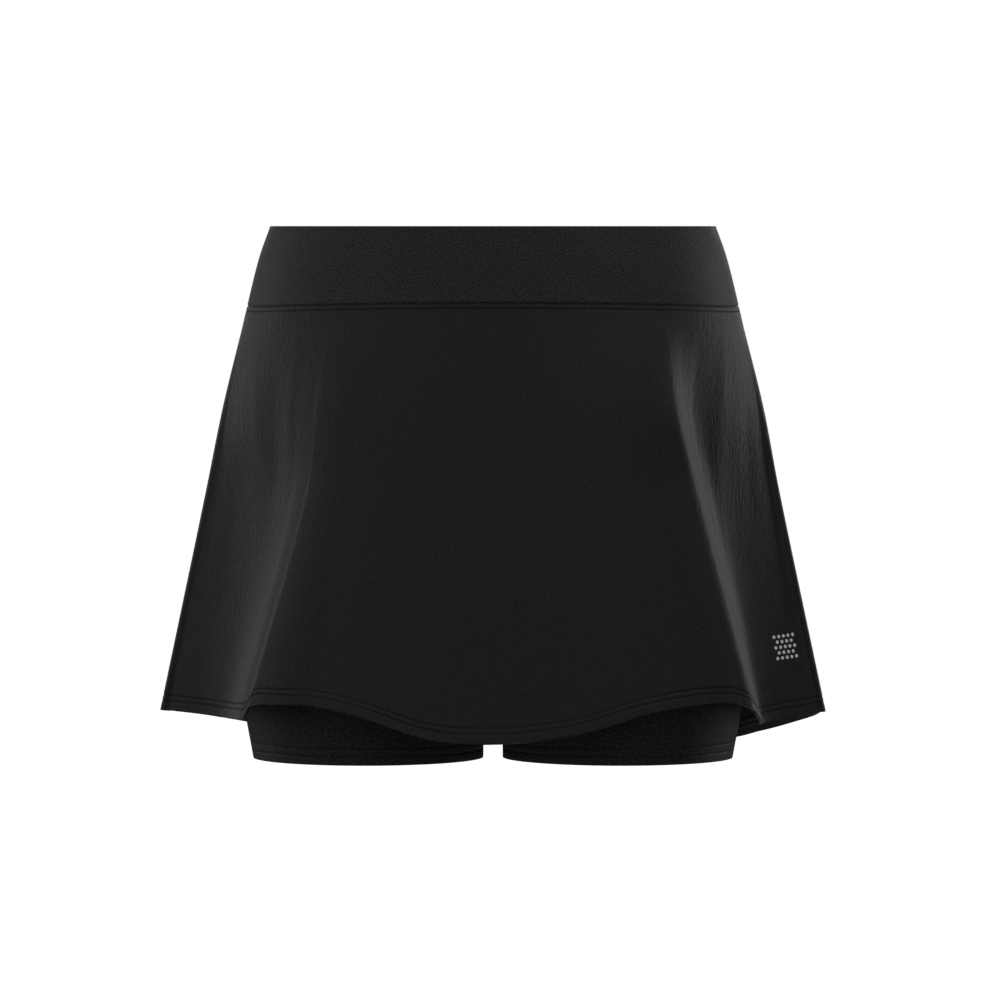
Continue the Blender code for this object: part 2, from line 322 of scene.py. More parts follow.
band_rows = [Row(share, 0.0) for share in spread(0.0, 0.9, 16)]
band_rows += [Row(1.0, -offset) for offset in (4.0, 3.0, 2.2, 1.6, 1.1, 0.7, 0.3, 0.0)]
rib_knit = knit_material("black rib knit", RIB_BLACK, shine=0.15, bloom=0.05, face={
    "Wale Pitch": RIB_PITCH * MM, "Course Pitch": 1.6 * MM,
    "Wale Height": 0.18, "Crinkle Height": 0.2, "Fuzz Height": 0.6})
for name, start in (("waistband_front", -90), ("waistband_back", 90)):
    columns = edge_columns(start, start + 180, BAND_COLUMN_DEG)
    across = shares_across(columns, lambda turn: band_place(turn, Row(0.5, 0.0)))

    def band_spot(turn, row):
        down = row.share + row.offset / BAND_FLAT[1]
        return across[turn] * BAND_FLAT[0], -down * BAND_FLAT[1]

    band = cloth_panel(f"{name}_cloth", columns, band_rows, band_place, band_relief, band_spot,
                       lambda turn, row: BAND_WALL, BAND_ROLL)
    band.data.materials.append(rib_knit)
    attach(band, "root")
    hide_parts(name)


# Skirt.  Two flared panels of smooth black knit, sewn at the sides and hung from the waistband.
# They fall in soft folds, and the back is a little longer.  The hem is turned up once and held by
# a twin needle, which leaves two sunken rows.

SKIRT_WALL = 1.2
SKIRT_HEM_WALL = 1.9
SKIRT_ROLL = 0.4
SKIRT_COLUMN_DEG = 1.0
SKIRT_LEAST_COLUMNS = 7
SKIRT_BLACK = (0.0060, 0.0060, 0.0062)
START_SHARE = 0.05
HIP_SHARE = 0.25
MIDDLE_SHARE = 0.46
HIP_OPENED = 0.12
MIDDLE_OPENED = 0.32
SKIRT_SIDE_DITCH = 0.5
TOPSTITCH_DROP = 3.3
HEM_TURNING = 11.5
TWIN_NEEDLES = (6.2, 9.7)
NEEDLE_DEPTH = 0.38
TOPSTITCH_DEPTH = 0.8 * NEEDLE_DEPTH
NEEDLE_REACH = 0.55

FoldLine = namedtuple("FoldLine", "name turn x y drop hip_x hip_y middle_x middle_y",
                      defaults=(None, None, None, None))

# The lines that the skirt falls in: turn is a line's angle round the plain cut, x, y and drop are
# its place on the hem, and hip and middle are where it passes on the way down.  The lines without
# them open evenly.
FOLD_LINES = (
    FoldLine("back centre, left", -180, 0, 161, 352),
    FoldLine("back left flute", -166, -46, 168, 351),
    FoldLine("back left hollow", -151, -102, 143, 346),
    FoldLine("back left ridge", -139, -152, 145, 341),
    FoldLine("back left side", -128, -178, 122, 334),
    FoldLine("behind left side", -110, -205, 68, 323),
    FoldLine("left side seam", -90, -213.6, 0, 315.6, -174.5, 0, -184.5, 0),
    FoldLine("left side edge", -85, -214.6, -37.5, 311.4, -174, -28, -185.2, -30.2),
    FoldLine("left side flute", -81, -208.8, -41, 311.4, -170.3, -34, -180, -35.2),
    FoldLine("left side", -76, -200.7, -46.5, 311.7, -166.2, -40, -173.2, -41.5),
    FoldLine("left side front", -70, -190.8, -53, 312.1, -158.8, -51, -163, -50.5),
    FoldLine("left of fold", -64.5, -181.3, -61, 312.5, -150, -62.1, -153, -61),
    FoldLine("left fold foot", -59, -173, -70, 312.8, -141.8, -71, -143.8, -71.3),
    FoldLine("left fold back", -53.5, -167, -80.5, 312.3, -133.3, -79.5, -135.2, -81.7),
    FoldLine("left fold return", -48.5, -163.3, -92.3, 311.3, -126, -86.6, -128.4, -91),
    FoldLine("left ridge back", -44.5, -161.8, -105, 309.8, -119.5, -93, -124, -97.3),
    FoldLine("left ridge", -41, -157.2, -112.8, 308.4, -113, -98.6, -118.5, -103.6),
    FoldLine("left ridge inside", -39, -152.2, -116.6, 300.2, -108.8, -101.8, -114.9, -106.5),
    FoldLine("left hollow", -34, -135.5, -127, 298.9, -97, -108.3, -103.2, -113.8),
    FoldLine("left of front", -28, -112, -131.5, 299.7, -81.4, -112.8, -85.7, -119.6),
    FoldLine("front left", -20, -81.4, -140, 306, -59.3, -118.2, -62.5, -125.3),
    FoldLine("front centre left", -10, -40.8, -149, 318.2, -30.1, -123.3, -31.8, -131.1),
    FoldLine("front centre", 0, 0.2, -150.5, 321.4, 0, -125, 0, -132.6),
    FoldLine("front centre right", 12, 50.5, -147, 316.2, 36.1, -122.8, 38.3, -130),
    FoldLine("front right", 24, 95, -133, 304.8, 70.3, -116.5, 74.7, -121.9),
    FoldLine("right hollow", 33, 129.9, -121, 299.5, 94.5, -113.5, 100.2, -116),
    FoldLine("right ridge inside", 38.5, 153, -120.3, 298.7, 107.5, -112.6, 118.3, -111.5),
    FoldLine("right ridge", 42, 163.5, -116, 303, 114.8, -109, 127.2, -106.6),
    FoldLine("right ridge back", 44.6, 168, -108.5, 308.5, 118.5, -102.8, 130.9, -100.5),
    FoldLine("right fold return", 48, 170.8, -96, 313.7, 121.6, -94, 132.6, -88.8),
    FoldLine("right fold back", 53.4, 171.2, -82, 315.3, 126.8, -84, 138, -78),
    FoldLine("right fold foot", 59.5, 172.5, -71.5, 316.2, 138.8, -73, 145, -69),
    FoldLine("right of fold", 64.5, 178.8, -65, 315.6, 149.7, -62.2, 154, -60),
    FoldLine("right side front", 70, 188.6, -57.8, 314.5, 159.5, -50.5, 164.3, -51),
    FoldLine("right side", 76, 199.2, -51, 313.5, 165.8, -41.8, 173.6, -42.5),
    FoldLine("right side flute", 81, 208.6, -45.2, 312.5, 170.2, -35.8, 180, -36),
    FoldLine("right side edge", 85, 214.4, -41.6, 312, 174.2, -30, 184.8, -31.8),
    FoldLine("right side seam", 90, 213.6, 2, 317.2, 174.6, 0.5, 184, 0.8),
    FoldLine("behind right side", 108, 207, 62, 328),
    FoldLine("back right side", 125, 184, 116, 341),
    FoldLine("back right ridge", 137, 162, 143, 349),
    FoldLine("back right hollow", 149, 112, 139, 352),
    FoldLine("back right flute", 164, 56, 166, 354),
    FoldLine("back centre", 180, 0, 161, 352),
)


Crease = namedtuple("Crease", "name top_turn foot_turn start end width height")

# Soft creases between the folds: widths in degrees, heights in millimetres, and start and end as
# shares of the skirt's length
CREASES = (
    Crease("right hip, first", 52.0, 50.0, 0.05, 0.52, 1.7, 0.40),
    Crease("right hip, second", 58.5, 55.0, 0.12, 0.66, 2.3, -0.55),
    Crease("right hip, third", 65.0, 60.0, 0.03, 0.48, 2.0, 0.50),
    Crease("right hip, fourth", 73.0, 69.0, 0.16, 0.58, 2.6, -0.45),
    Crease("front, right of centre", 24.0, 19.0, 0.42, 1.00, 5.5, 0.9),
    Crease("front, centre", 1.5, 3.0, 0.50, 1.00, 6.0, 1.1),
    Crease("front, left of centre", -22.0, -25.0, 0.38, 1.00, 5.0, 0.8),
    Crease("left hip, first", -49.0, -51.0, 0.04, 0.44, 2.4, 0.45),
    Crease("left hip, second", -57.5, -56.0, 0.10, 0.62, 3.0, -0.50),
    Crease("left hip, third", -68.0, -63.0, 0.06, 0.40, 2.2, 0.40),
    Crease("back, left of flute", -171.0, -175.0, 0.30, 0.94, 3.6, 0.9),
    Crease("back, left hollow", -158.0, -156.0, 0.12, 0.70, 4.2, -0.7),
    Crease("back, left hip", -128.0, -131.0, 0.05, 0.50, 2.6, 0.6),
    Crease("behind left side", -108.0, -112.0, 0.20, 0.80, 3.3, -0.6),
    Crease("behind right side", 104.0, 109.0, 0.08, 0.63, 2.8, 0.7),
    Crease("back, right hip", 121.0, 124.0, 0.04, 0.46, 3.4, -0.6),
    Crease("back, right hollow", 157.0, 153.0, 0.22, 0.82, 3.9, 0.8),
    Crease("back, right of centre", 173.0, 176.0, 0.10, 0.57, 3.0, -0.6),
)


def fold_swings(line):
    """How far a line swings from the plain cut at the hip, at the middle and at the hem."""
    places = ((HIP_SHARE, line.hip_x, line.hip_y), (MIDDLE_SHARE, line.middle_x, line.middle_y))
    hem_swing = Vector((line.x, line.y, -line.drop)) - oval(OUTER_CUT, line.turn, line.drop)
    if line.hip_x is None:
        return hem_swing * HIP_OPENED, hem_swing * MIDDLE_OPENED, hem_swing
    top = seam_drop(line.turn)
    swings = []
    for share, x, y in places:
        drop = top + share * (line.drop - top)
        swings.append(Vector((x, y, -drop)) - oval(OUTER_CUT, line.turn, drop))
    return *swings, hem_swing


@functools.lru_cache(maxsize=None)
def fold_at(turn):
    """The hem's drop at a turn, and how far the cloth there swings at each of the three levels."""
    turn = (turn + 180) % 360 - 180
    ring = [line._replace(turn=line.turn - 360) for line in FOLD_LINES[-3:-1]]
    ring += FOLD_LINES
    ring += [line._replace(turn=line.turn + 360) for line in FOLD_LINES[1:3]]
    turns = [line.turn for line in ring]
    drop = curve_through(turns, [line.drop for line in ring], turn)
    levels = zip(*(fold_swings(line) for line in ring))
    return drop, [curve_through(turns, swings, turn) for swings in levels]


def skirt_length(turn):
    """The drop from the waist seam to the hem."""
    return fold_at(turn)[0] - seam_drop(turn)


def skirt_place(turn, row):
    """A place on the skirt's outer face, from the seam down to the hem."""
    share = row.share + row.offset / skirt_length(turn)
    drop = seam_drop(turn) + share * skirt_length(turn)
    stops = (START_SHARE, HIP_SHARE, MIDDLE_SHARE, 1.0)
    swings = (Vector((0.0, 0.0, 0.0)), *fold_at(turn)[1])
    return oval(OUTER_CUT, turn, drop) + curve_through(stops, swings, max(share, START_SHARE))


def crease_lift(turn, share):
    """How far the soft creases raise the cloth."""
    turn = (turn + 180) % 360 - 180
    lift = 0.0
    for crease in CREASES:
        if crease.start < share < crease.end:
            way = (share - crease.start) / (crease.end - crease.start)
            middle = crease.top_turn + (crease.foot_turn - crease.top_turn) * way
            fade = math.sin(math.pi * way) if crease.end < 1 else math.sin(math.pi / 2 * way)
            lift += crease.height * fade * hollow(turn - middle, crease.width)
    return lift


def skirt_relief(turn, row):
    """The seams' ditches, the topstitching's and the twin needle's sunken rows, and the creases."""
    length = skirt_length(turn)
    from_seam = row.share * length + row.offset
    from_hem = length - from_seam
    from_side = (90 - abs((turn + 90) % 180 - 90)) * math.radians(OUTER_CUT[3].front_depth)
    lift = crease_lift(turn, from_seam / length)
    lift -= DITCH_DEPTH * hollow(from_seam, DITCH_REACH)
    lift -= SKIRT_SIDE_DITCH * hollow(from_side, DITCH_REACH)
    lift -= TOPSTITCH_DEPTH * hollow(from_seam - TOPSTITCH_DROP, NEEDLE_REACH)
    for needle in TWIN_NEEDLES:
        lift -= NEEDLE_DEPTH * hollow(from_hem - needle, NEEDLE_REACH)
    return lift


def skirt_wall(turn, row):
    """The turned-up hem is two layers thick."""
    from_hem = (1 - row.share) * skirt_length(turn) - row.offset
    return SKIRT_HEM_WALL if from_hem < HEM_TURNING else SKIRT_WALL


def skirt_columns(start, end):
    """Turns from start to end, closer together where the fold lines are close."""
    marks = [line.turn + lap for lap in (0, 360) for line in FOLD_LINES[:-1]]
    marks = [mark for mark in marks if start <= mark <= end]
    turns = [start]
    for mark, following in zip(marks, marks[1:]):
        steps = max(SKIRT_LEAST_COLUMNS, math.ceil((following - mark) / SKIRT_COLUMN_DEG))
        turns += spread(mark, following, steps)[1:]
    near = (0.15, 0.35)
    return sorted({*turns, *[start + turn for turn in near], *[end - turn for turn in near]})


seam_offsets = [0.0, 0.3, 0.7, 1.1, 1.6, 2.1, 2.6, 2.95, 3.3, 3.65, 4.0, 4.6, 5.6, 7.5]
hem_offsets = [15.0, 12.6, 11.7, 11.3, 10.9, 10.5, 10.1, 9.7, 9.3, 8.9, 8.4, 7.9, 7.4, 7.0, 6.6,
               6.2, 5.8, 5.4, 5.0, 4.3, 3.4, 2.3, 1.2, 0.5, 0.0]
skirt_rows = [Row(0.0, offset) for offset in seam_offsets]
skirt_rows += [Row(share, 0.0) for share in spread(0.05, 0.93, 74)]
skirt_rows += [Row(1.0, -offset) for offset in hem_offsets]
skirt_knit = knit_material("black smooth knit", SKIRT_BLACK, shine=0.25, bloom=0.10, face={
    "Wale Pitch": 0.95 * MM, "Course Pitch": 0.8 * MM,
    "Wale Height": 0.15, "Crinkle Height": 1.1, "Fuzz Height": 0.6})

# Each panel is cut as a slice of a ring: its runs along the waist seam and the hem, and its length
SkirtCut = namedtuple("SkirtCut", "name start seam_run hem_run length")
SKIRT_CUTS = (
    SkirtCut("skirt_front", -90, 429.0, 627.5, 264.0),
    SkirtCut("skirt_back", 90, 430.0, 655.0, 295.0),
)


def ring_slice(cut):
    """The angle that a cut fans out over, and its radii at the waist seam and at the hem."""
    fan = (cut.hem_run - cut.seam_run) / cut.length
    seam_radius = cut.seam_run / fan
    return fan, seam_radius, seam_radius + cut.length


skirts = []
for skirt_cut in SKIRT_CUTS:
    columns = skirt_columns(skirt_cut.start, skirt_cut.start + 180)
    across = shares_across(columns, lambda turn: skirt_place(turn, Row(0.3, 0.0)))
    fan, seam_radius = ring_slice(skirt_cut)[:2]

    # The wales hang parallel to the middle of the slice
    def skirt_spot(turn, row):
        share = row.share + row.offset / skirt_length(turn)
        radius = seam_radius + share * skirt_cut.length
        lean = across[turn] * fan
        return radius * math.sin(lean), seam_radius - radius * math.cos(lean)

    skirt = cloth_panel(f"{skirt_cut.name}_cloth", columns, skirt_rows, skirt_place, skirt_relief,
                        skirt_spot, skirt_wall, SKIRT_ROLL)
    skirt.data.materials.append(skirt_knit)
    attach(skirt, "root")
    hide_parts(skirt_cut.name)
    skirts.append(skirt)


STITCH_LENGTH = 3.0
STITCH_STEPS = 6
THREAD_RADIUS = 0.26
THREAD_SIDES = 6
# How far the thread's middle stands out of its row, and how far it dives between two stitches
THREAD_PROUD = 0.35 * THREAD_RADIUS
THREAD_DIVE = 1.6 * THREAD_RADIUS
THREAD_BLACK = (0.0030, 0.0030, 0.0031)


def even_stops(place, stops, count):
    """Stops that cut the line place(stop) into a number of equal lengths."""
    points = [place(stop) for stop in stops]
    steps = [(after - before).length for before, after in zip(points, points[1:])]
    runs = list(itertools.accumulate(steps, initial=0.0))
    cuts = []
    for step in range(count + 1):
        run = runs[-1] * step / count
        first = min(bisect.bisect_right(runs, run) - 1, len(steps) - 1)
        share = (run - runs[first]) / steps[first]
        cuts.append(stops[first] + (stops[first + 1] - stops[first]) * share)
    return cuts


def thread_row(name, lines, material):
    """Rows of stitches.  Each line gives place(stop, aside), its stops, and how deep its row lies.

    aside is a distance across the row, in millimetres.  The thread dives into the cloth between
    one stitch and the next.
    """
    thread = bmesh.new()
    for place, stops, sunk in lines:
        line_length = sum((place(after, 0) - place(before, 0)).length
                          for before, after in zip(stops, stops[1:]))
        count = round(line_length / STITCH_LENGTH) * STITCH_STEPS
        cuts = even_stops(lambda stop: place(stop, 0), stops, count)
        made = bmesh.ops.create_grid(thread, x_segments=count, y_segments=THREAD_SIDES, size=0.5)
        rings = {}
        for step, stop in enumerate(cuts):
            middle = place(stop, 0)
            beside = (place(stop, 1.0) - middle).normalized()
            along = place(cuts[min(step + 1, count)], 0) - place(cuts[max(step - 1, 0)], 0)
            outward = beside.cross(along).normalized()
            dive = math.cos(math.pi * (step % STITCH_STEPS) / STITCH_STEPS) ** 8
            height = THREAD_PROUD - sunk - THREAD_DIVE * dive
            rings[step] = (middle + outward * height, beside, outward)
        for vertex in made["verts"]:
            middle, beside, outward = rings[round((vertex.co.x + 0.5) * count)]
            lean = math.tau * (vertex.co.y + 0.5)
            around = beside * math.cos(lean) + outward * math.sin(lean)
            vertex.co = (middle + around * THREAD_RADIUS) * MM
    bmesh.ops.remove_doubles(thread, verts=thread.verts, dist=0.01 * MM)
    bmesh.ops.holes_fill(thread, edges=thread.edges, sides=THREAD_SIDES)
    bmesh.ops.recalc_face_normals(thread, faces=thread.faces)
    mesh = bpy.data.meshes.new(name)
    thread.to_mesh(mesh)
    thread.free()
    mesh.shade_smooth()
    mesh.materials.append(material)
    row = bpy.data.objects.new(name, mesh)
    bpy.context.scene.collection.objects.link(row)
    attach(row, "root")
    return row


thread_black = bpy.data.materials.new("black sewing thread")
thread_black.use_nodes = True
thread_shader = thread_black.node_tree.nodes["Principled BSDF"]
thread_shader.inputs["Base Color"].default_value = (*THREAD_BLACK, 1)
thread_shader.inputs["Roughness"].default_value = 0.7
thread_shader.inputs["Specular IOR Level"].default_value = 0.1
thread_black.diffuse_color = (*THREAD_BLACK, 1)
round_the_skirt = spread(-180.0, 180.0, 720)


def topstitch_place(turn, aside):
    """A place on the row of stitches under the waist seam."""
    return skirt_place(turn, Row(0.0, TOPSTITCH_DROP + aside))


def hem_stitch_place(needle):
    """The places on one of the hem's two rows of stitches."""
    return lambda turn, aside: skirt_place(turn, Row(1.0, aside - needle))


waist_stitches = thread_row("waist_topstitch", [
    (topstitch_place, round_the_skirt, TOPSTITCH_DEPTH)], thread_black)
hem_stitches = thread_row("skirt_hem_stitches", [
    (hem_stitch_place(needle), round_the_skirt, NEEDLE_DEPTH) for needle in TWIN_NEEDLES],
    thread_black)


# Print.  A small patch of light-grey reflective dots, heat-pressed on the right side panel above
# the hem.  The dots stand a hair's breadth proud and follow the cloth.

PRINT_TURN = 73.9
PRINT_SHARE = 0.83
PRINT_PITCH = 3.8
PRINT_ROW_PITCH = 0.9 * PRINT_PITCH
PRINT_ROWS = (5, 4, 5, 4, 5)
DOT_RADIUS = 1.16
DOT_TOP_RADIUS = 0.93 * DOT_RADIUS
DOT_LIFT = 0.18
DOT_SUNK = 0.1
PRINT_GREY = (0.60, 0.61, 0.62)


def print_place(right, up, proud):
    """A place on the print, from its centre, in millimetres."""
    centre_row = Row(PRINT_SHARE, 0.0)
    middle = skirt_place(PRINT_TURN, centre_row)
    per_degree = (skirt_place(PRINT_TURN + 0.5, centre_row)
                  - skirt_place(PRINT_TURN - 0.5, centre_row)).length
    turn = PRINT_TURN + right / per_degree
    row = Row(PRINT_SHARE, -up)
    here = skirt_place(turn, row)
    across = skirt_place(turn + 0.1, row) - here
    down = skirt_place(turn, Row(PRINT_SHARE, 0.1 - up)) - here
    return here + down.cross(across).normalized() * proud


dots = bmesh.new()
for row, count in enumerate(PRINT_ROWS):
    for column in range(count):
        dot = bmesh.ops.create_cone(dots, cap_ends=True, segments=20, radius1=DOT_RADIUS,
                                    radius2=DOT_TOP_RADIUS, depth=0.5)["verts"]
        for vertex in dot:
            right = vertex.co.x + (column - (count - 1) / 2) * PRINT_PITCH
            up = vertex.co.y + ((len(PRINT_ROWS) - 1) / 2 - row) * PRINT_ROW_PITCH
            proud = DOT_LIFT if vertex.co.z > 0 else -DOT_SUNK
            vertex.co = print_place(right, up, proud) * MM
bmesh.ops.recalc_face_normals(dots, faces=dots.faces)
dots_mesh = bpy.data.meshes.new("reflective_print")
dots.to_mesh(dots_mesh)
dots.free()
reflective = bpy.data.materials.new("reflective print")
reflective.use_nodes = True
reflective_shader = reflective.node_tree.nodes["Principled BSDF"]
reflective_shader.inputs["Base Color"].default_value = (*PRINT_GREY, 1)
reflective_shader.inputs["Roughness"].default_value = 0.4
reflective.diffuse_color = (*PRINT_GREY, 1)
dots_mesh.materials.append(reflective)
print_patch = bpy.data.objects.new("reflective_print", dots_mesh)
bpy.context.scene.collection.objects.link(print_patch)
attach(print_patch, "root")

# The skirt's two flat cuts: each one's area is worked out, and the thread and the print that go
# with it are listed
skirt_trims = ([waist_stitches, print_patch], [hem_stitches])
for skirt, skirt_cut, beside in zip(skirts, SKIRT_CUTS, skirt_trims):
    fan, seam_radius, hem_radius = ring_slice(skirt_cut)
    area = fan / 2 * (hem_radius ** 2 - seam_radius ** 2)
    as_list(beside)


# Shorts.  Four fitted panels of the same smooth knit, joined at the centre seam, the inseams and
# the side seams, and sewn in with the skirt at the waist.  The leg hems are turned up and twin
# needled too.

SHORTS_WALL = 1.2
SHORTS_HEM_WALL = 1.8
SHORTS_ROLL = 0.4
SHORTS_COLUMNS = 56
SHORTS_TOP_EASE = 0.5
SHORTS_BLACK = (0.0130, 0.0130, 0.0133)
SHORTS_DITCH_DEPTH = 0.45
SHORTS_DITCH_REACH = 0.8
FORK_DROP = 222.0
CROTCH_DROP = 275.0
SHORTS_HEM_DROP = 346.0
SHORTS_FRONT_RISE = 4.5
SHORTS_HEM_TURNING = 13.5
SHORTS_NEEDLES = (6.0, 11.5)
LEG_GAP = 12.4
SIDE_TOPSTITCH = 3.2
SHORTS_PANEL_WIDTH = 130.0
# The leg's knit lies this much further down the flat cut than its drop says
LEG_SLIP = 60.0
# One panel's flat cut, in metres: a straight side, and a crotch point at the other edge
SHORTS_FRONT_SHEET = (0.285, 0.300)
SHORTS_FRONT_AREA = 0.0713
SHORTS_BACK_SHEET = (0.290, 0.300)
SHORTS_BACK_AREA = 0.0740

SHORTS_CUT = (
    Level("top", 48, 157.1, 111.0, 111.9),
    Level("hip", 113, 169.4, 120.8, 127.2),
    Level("seat", 165, 168.6, 121.0, 130.0),
    Level("fork", 222, 165.6, 113.5, 123.0),
    Level("under seat", 255, 164.8, 107.5, 114.5),
    Level("crotch", 275, 164.2, 101.0, 106.0),
    Level("thigh", 310, 162.4, 95.0, 98.0),
    Level("hem", 346, 156.4, 90.0, 93.0),
)

# A row of the shorts: parted grows from 0 on the trunk to 1 on a leg, and leg_share from 0 at the
# crotch to 1 at the hem
ShortsRow = namedtuple("ShortsRow", "drop parted leg_share")


def shorts_place(side, face, across, row):
    """A place on the shorts: across runs from the centre seam or inseam (0) to the side seam (1).

    side is +1 or -1 along X, and face is -1 for the front panel and +1 for the back one.
    """
    angle = math.pi * across
    top_drop = seam_drop(90 * across) + SHORTS_TOP_EASE
    rise = SHORTS_FRONT_RISE * math.sin(angle) * row.leg_share if face < 0 else 0.0
    drop = max(row.drop - rise, top_drop)
    outer = oval(SHORTS_CUT, 90, drop).x
    depth = abs(oval(SHORTS_CUT, 0 if face < 0 else 180, drop).y)
    inner = LEG_GAP / 2 * math.sin(math.pi / 2 * row.leg_share)
    leg_middle = (outer + inner) / 2
    leg_half = (outer - inner) / 2
    # On the trunk the panel is a quarter oval, and on the leg it is half of a smaller one
    trunk_out = outer * math.sin(angle / 2)
    leg_out = leg_middle - leg_half * math.cos(angle)
    out = trunk_out + (leg_out - trunk_out) * math.sqrt(1 - (1 - row.parted) ** 2)
    trunk_reach = math.sqrt(max(0.0, 1 - (out / outer) ** 2))
    leg_reach = math.sqrt(max(0.0, 1 - ((out - leg_middle) / leg_half) ** 2))
    reach = trunk_reach + (leg_reach - trunk_reach) * row.parted
    return Vector((side * out, face * depth * reach, -drop))


def shorts_row(drop):
    """The row of the shorts at a drop: the centre seam runs under the body in a quarter round."""
    if drop <= FORK_DROP:
        return ShortsRow(drop, 0.0, 0.0)
    if drop <= CROTCH_DROP:
        down = (drop - FORK_DROP) / (CROTCH_DROP - FORK_DROP)
        return ShortsRow(drop, 1 - math.sqrt(1 - down ** 2), 0.0)
    return ShortsRow(drop, 1.0, (drop - CROTCH_DROP) / (SHORTS_HEM_DROP - CROTCH_DROP))


def shorts_relief(across, row):
    """The seams' ditches and the twin needle's sunken rows."""
    from_hem = SHORTS_HEM_DROP - row.drop
    from_side = (1 - across) * SHORTS_PANEL_WIDTH
    from_middle = across * SHORTS_PANEL_WIDTH
    lift = -SHORTS_DITCH_DEPTH * hollow(from_side, SHORTS_DITCH_REACH)
    lift -= SHORTS_DITCH_DEPTH * hollow(from_middle, SHORTS_DITCH_REACH)
    lift -= TOPSTITCH_DEPTH * hollow(from_side - SIDE_TOPSTITCH, NEEDLE_REACH)
    for needle in SHORTS_NEEDLES:
        lift -= NEEDLE_DEPTH * hollow(from_hem - needle, NEEDLE_REACH)
    return lift


shorts_drops = spread(SEAM_DROP_AT_CENTRE, FORK_DROP, 24)
shorts_drops += [FORK_DROP + (CROTCH_DROP - FORK_DROP) * math.sin(lean)
                 for lean in spread(0, math.pi / 2, 18)[1:]]
shorts_drops += spread(CROTCH_DROP, SHORTS_HEM_DROP - 15.0, 14)[1:]
shorts_hem_offsets = [13.7, 13.2, 12.5, 12.0, 11.5, 11.0, 10.5, 9.6, 8.4, 7.2, 6.5, 6.0, 5.5, 4.9,
                      4.0, 2.8, 1.5, 0.6, 0.0]
shorts_drops += [SHORTS_HEM_DROP - offset for offset in shorts_hem_offsets]
shorts_rows = [shorts_row(drop) for drop in shorts_drops]
shorts_knit = knit_material("black shorts knit", SHORTS_BLACK, shine=0.15, bloom=0.0, face={
    "Wale Pitch": 0.95 * MM, "Course Pitch": 0.8 * MM,
    "Wale Height": 0.15, "Crinkle Height": 0.35, "Fuzz Height": 0.5})
side_marks = [0.0, 0.003, 0.008, 0.016]
plain_marks = spread(0.028, 0.955, SHORTS_COLUMNS)
seam_marks = [0.964, 0.970, 0.9755, 0.980, 0.985, 0.990, 0.995, 1.0]
shorts_across = side_marks + plain_marks + seam_marks
shorts = []
for side_name, side in (("left", -1), ("right", 1)):
    for face_name, face in (("front", -1), ("back", 1)):
        columns = list(reversed(shorts_across)) if side * face > 0 else shorts_across

        def panel_place(across, row):
            return shorts_place(side, face, across, row)

        def shorts_spot(across, row):
            return side * across * SHORTS_PANEL_WIDTH, -row.drop - LEG_SLIP * row.parted

        def shorts_wall(across, row):
            from_hem = SHORTS_HEM_DROP - row.drop
            return SHORTS_HEM_WALL if from_hem < SHORTS_HEM_TURNING else SHORTS_WALL

        name = f"shorts_{face_name}_{side_name}"
        panel = cloth_panel(f"{name}_cloth", columns, shorts_rows, panel_place, shorts_relief,
                            shorts_spot, shorts_wall, SHORTS_ROLL)
        panel.data.materials.append(shorts_knit)
        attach(panel, "root")
        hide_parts(name)
        shorts.append(panel)


def leg_stitch_place(side, needle):
    """The places round a leg's hem, front first: whole stops lie on the side seam and inseam."""
    row = shorts_row(SHORTS_HEM_DROP - needle)

    def place(stop, aside):
        face = -1 if stop <= 1 else 1
        way = stop if stop <= 1 else 2 - stop
        across = way if side > 0 else 1 - way
        return shorts_place(side, face, across, shorts_row(row.drop + aside))
    return place


def side_stitch_place(side):
    """The places down the front panel beside its side seam."""
    def place(drop, aside):
        across = 1 - (SIDE_TOPSTITCH + side * aside) / SHORTS_PANEL_WIDTH
        return shorts_place(side, -1, across, shorts_row(drop))
    return place


round_the_leg = spread(0.0, 1.0, 90) + spread(1.0, 2.0, 90)[1:]
leg_lines = [(leg_stitch_place(side, needle), round_the_leg, NEEDLE_DEPTH)
             for side in (-1, 1) for needle in SHORTS_NEEDLES]
down_the_side = spread(SEAM_DROP_AT_SIDE + 1.0, SHORTS_HEM_DROP - 1.0, 100)
side_lines = [(side_stitch_place(side), down_the_side, TOPSTITCH_DEPTH) for side in (-1, 1)]
leg_stitches = thread_row("shorts_hem_stitches", leg_lines, thread_black)
side_stitches = thread_row("shorts_side_stitches", side_lines, thread_black)
for panel, beside in zip(shorts, ([side_stitches], [leg_stitches], [], [])):
    flat = SHORTS_FRONT_SHEET if "front" in panel.name else SHORTS_BACK_SHEET
    area = SHORTS_FRONT_AREA if "front" in panel.name else SHORTS_BACK_AREA
    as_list(beside)


# Studio.  A pale floor under the garment, white surroundings, and soft boxes at both sides that
# draw the light edges along the folds.  The camera looks from the front and a little down.

FLOOR_DROP = 950.0
FLOOR_SEEN = (0.9, 0.9, 0.9, 1)
FLOOR_LIT = (0.25, 0.25, 0.25, 1)
FLOOR_GLOW = 0.95
FRONT_WASH = 0.96
WASH_NARROWNESS = 2.0
floor_shape = bmesh.new()
bmesh.ops.create_grid(floor_shape, x_segments=1, y_segments=1, size=20)
bmesh.ops.translate(floor_shape, verts=floor_shape.verts, vec=(0, 0, -FLOOR_DROP * MM))
floor_mesh = bpy.data.meshes.new("floor")
floor_shape.to_mesh(floor_mesh)
floor_shape.free()
floor = bpy.data.objects.new("floor", floor_mesh)
bpy.context.scene.collection.objects.link(floor)
floor_paint = bpy.data.materials.new("white floor")
floor_paint.use_nodes = True
paint_tree = floor_paint.node_tree
paint = paint_tree.nodes["Principled BSDF"]
paint.inputs["Roughness"].default_value = 0.9
paint.inputs["Emission Color"].default_value = (1, 1, 1, 1)
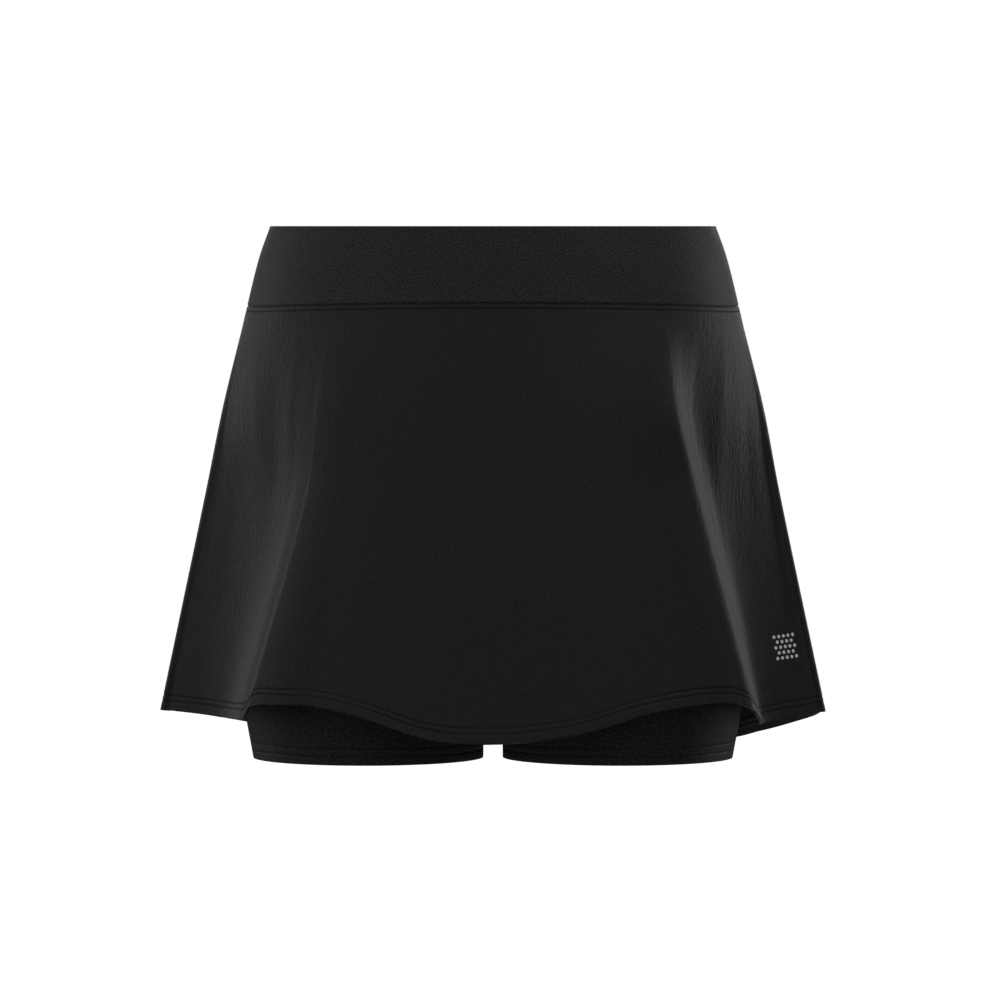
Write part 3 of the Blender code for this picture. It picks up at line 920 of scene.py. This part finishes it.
# The camera sees the floor as white paper, and it throws little light up under the skirt
looked_at = wire(paint_tree, "ShaderNodeLightPath", {}).outputs["Is Camera Ray"]
whiteness = wire(paint_tree, "ShaderNodeMix", {
    0: looked_at, 6: FLOOR_LIT, 7: FLOOR_SEEN}, data_type="RGBA")
paint_tree.links.new(whiteness.outputs[2], paint.inputs["Base Color"])
glow = maths(paint_tree, "MULTIPLY", looked_at, FLOOR_GLOW)
paint_tree.links.new(glow, paint.inputs["Emission Strength"])
floor_mesh.materials.append(floor_paint)

surroundings = bpy.data.worlds.new("white studio")
surroundings.use_nodes = True
sky = surroundings.node_tree
seen = wire(sky, "ShaderNodeLightPath", {}).outputs["Is Camera Ray"]
aim = wire(sky, "ShaderNodeTexCoord", {}).outputs["Generated"]
parts = wire(sky, "ShaderNodeSeparateXYZ", {0: aim}).outputs
forward = maths(sky, "MAXIMUM", maths(sky, "MULTIPLY", parts[1], -1.0), 0.0)
forward = maths(sky, "POWER", forward, WASH_NARROWNESS)
wash = maths(sky, "MULTIPLY", forward, FRONT_WASH)
strength = wire(sky, "ShaderNodeMix", {0: seen, 2: wash, 3: 1.0})
backdrop = sky.nodes["Background"]
backdrop.inputs["Color"].default_value = (1, 1, 1, 1)
sky.links.new(strength.outputs[0], backdrop.inputs["Strength"])
bpy.context.scene.world = surroundings


SoftBox = namedtuple("SoftBox", "name turn tilt power")

# Tall soft boxes stand round the garment: turn is the angle from the centre front, tilt is how far
# each is raised in degrees, and power is in watts
SOFT_BOXES = (
    SoftBox("left key", -60, 5, 2.4),
    SoftBox("left high key", -60, 35, 1.4),
    SoftBox("left side", -85, 5, 2.1),
    SoftBox("left high side", -85, 35, 2.4),
    SoftBox("left rim", -120, 5, 4.9),
    SoftBox("left back", -165, 35, 17.0),
    SoftBox("right key", 60, 5, 0.6),
    SoftBox("right high key", 60, 35, 5.4),
    SoftBox("right rim", 120, 5, 7.9),
    SoftBox("right back", 165, 35, 31.0),
)
BOX_SIZE = (0.35, 1.0)
BOX_DISTANCE = 1.7
LIT_POINT = Vector((0, 0, -0.15))

for soft_box in SOFT_BOXES:
    turn = math.radians(soft_box.turn)
    tilt = math.radians(soft_box.tilt)
    outward = Vector((math.sin(turn) * math.cos(tilt), -math.cos(turn) * math.cos(tilt),
                      math.sin(tilt)))
    light = bpy.data.lights.new(soft_box.name, "AREA")
    light.shape = "RECTANGLE"
    light.size, light.size_y = BOX_SIZE
    light.energy = soft_box.power
    box = bpy.data.objects.new(soft_box.name, light)
    box.location = LIT_POINT + outward * BOX_DISTANCE
    box.rotation_mode = "QUATERNION"
    box.rotation_quaternion = (-outward).to_track_quat("-Z", "Y")
    bpy.context.scene.collection.objects.link(box)

CAMERA_LENS = 166.15
CAMERA_PLACE = (0.00455, -3.0, 0.0)
CAMERA_DIP = 3.397

camera_data = bpy.data.cameras.new("camera")
camera_data.sensor_width = 36.0
camera_data.lens = CAMERA_LENS
camera_data.clip_end = 100.0
camera = bpy.data.objects.new("camera", camera_data)
camera.location = CAMERA_PLACE
camera.rotation_euler = (math.radians(90 - CAMERA_DIP), 0, 0)
bpy.context.scene.collection.objects.link(camera)
bpy.context.scene.camera = camera
bpy.context.scene.view_settings.view_transform = "Standard"
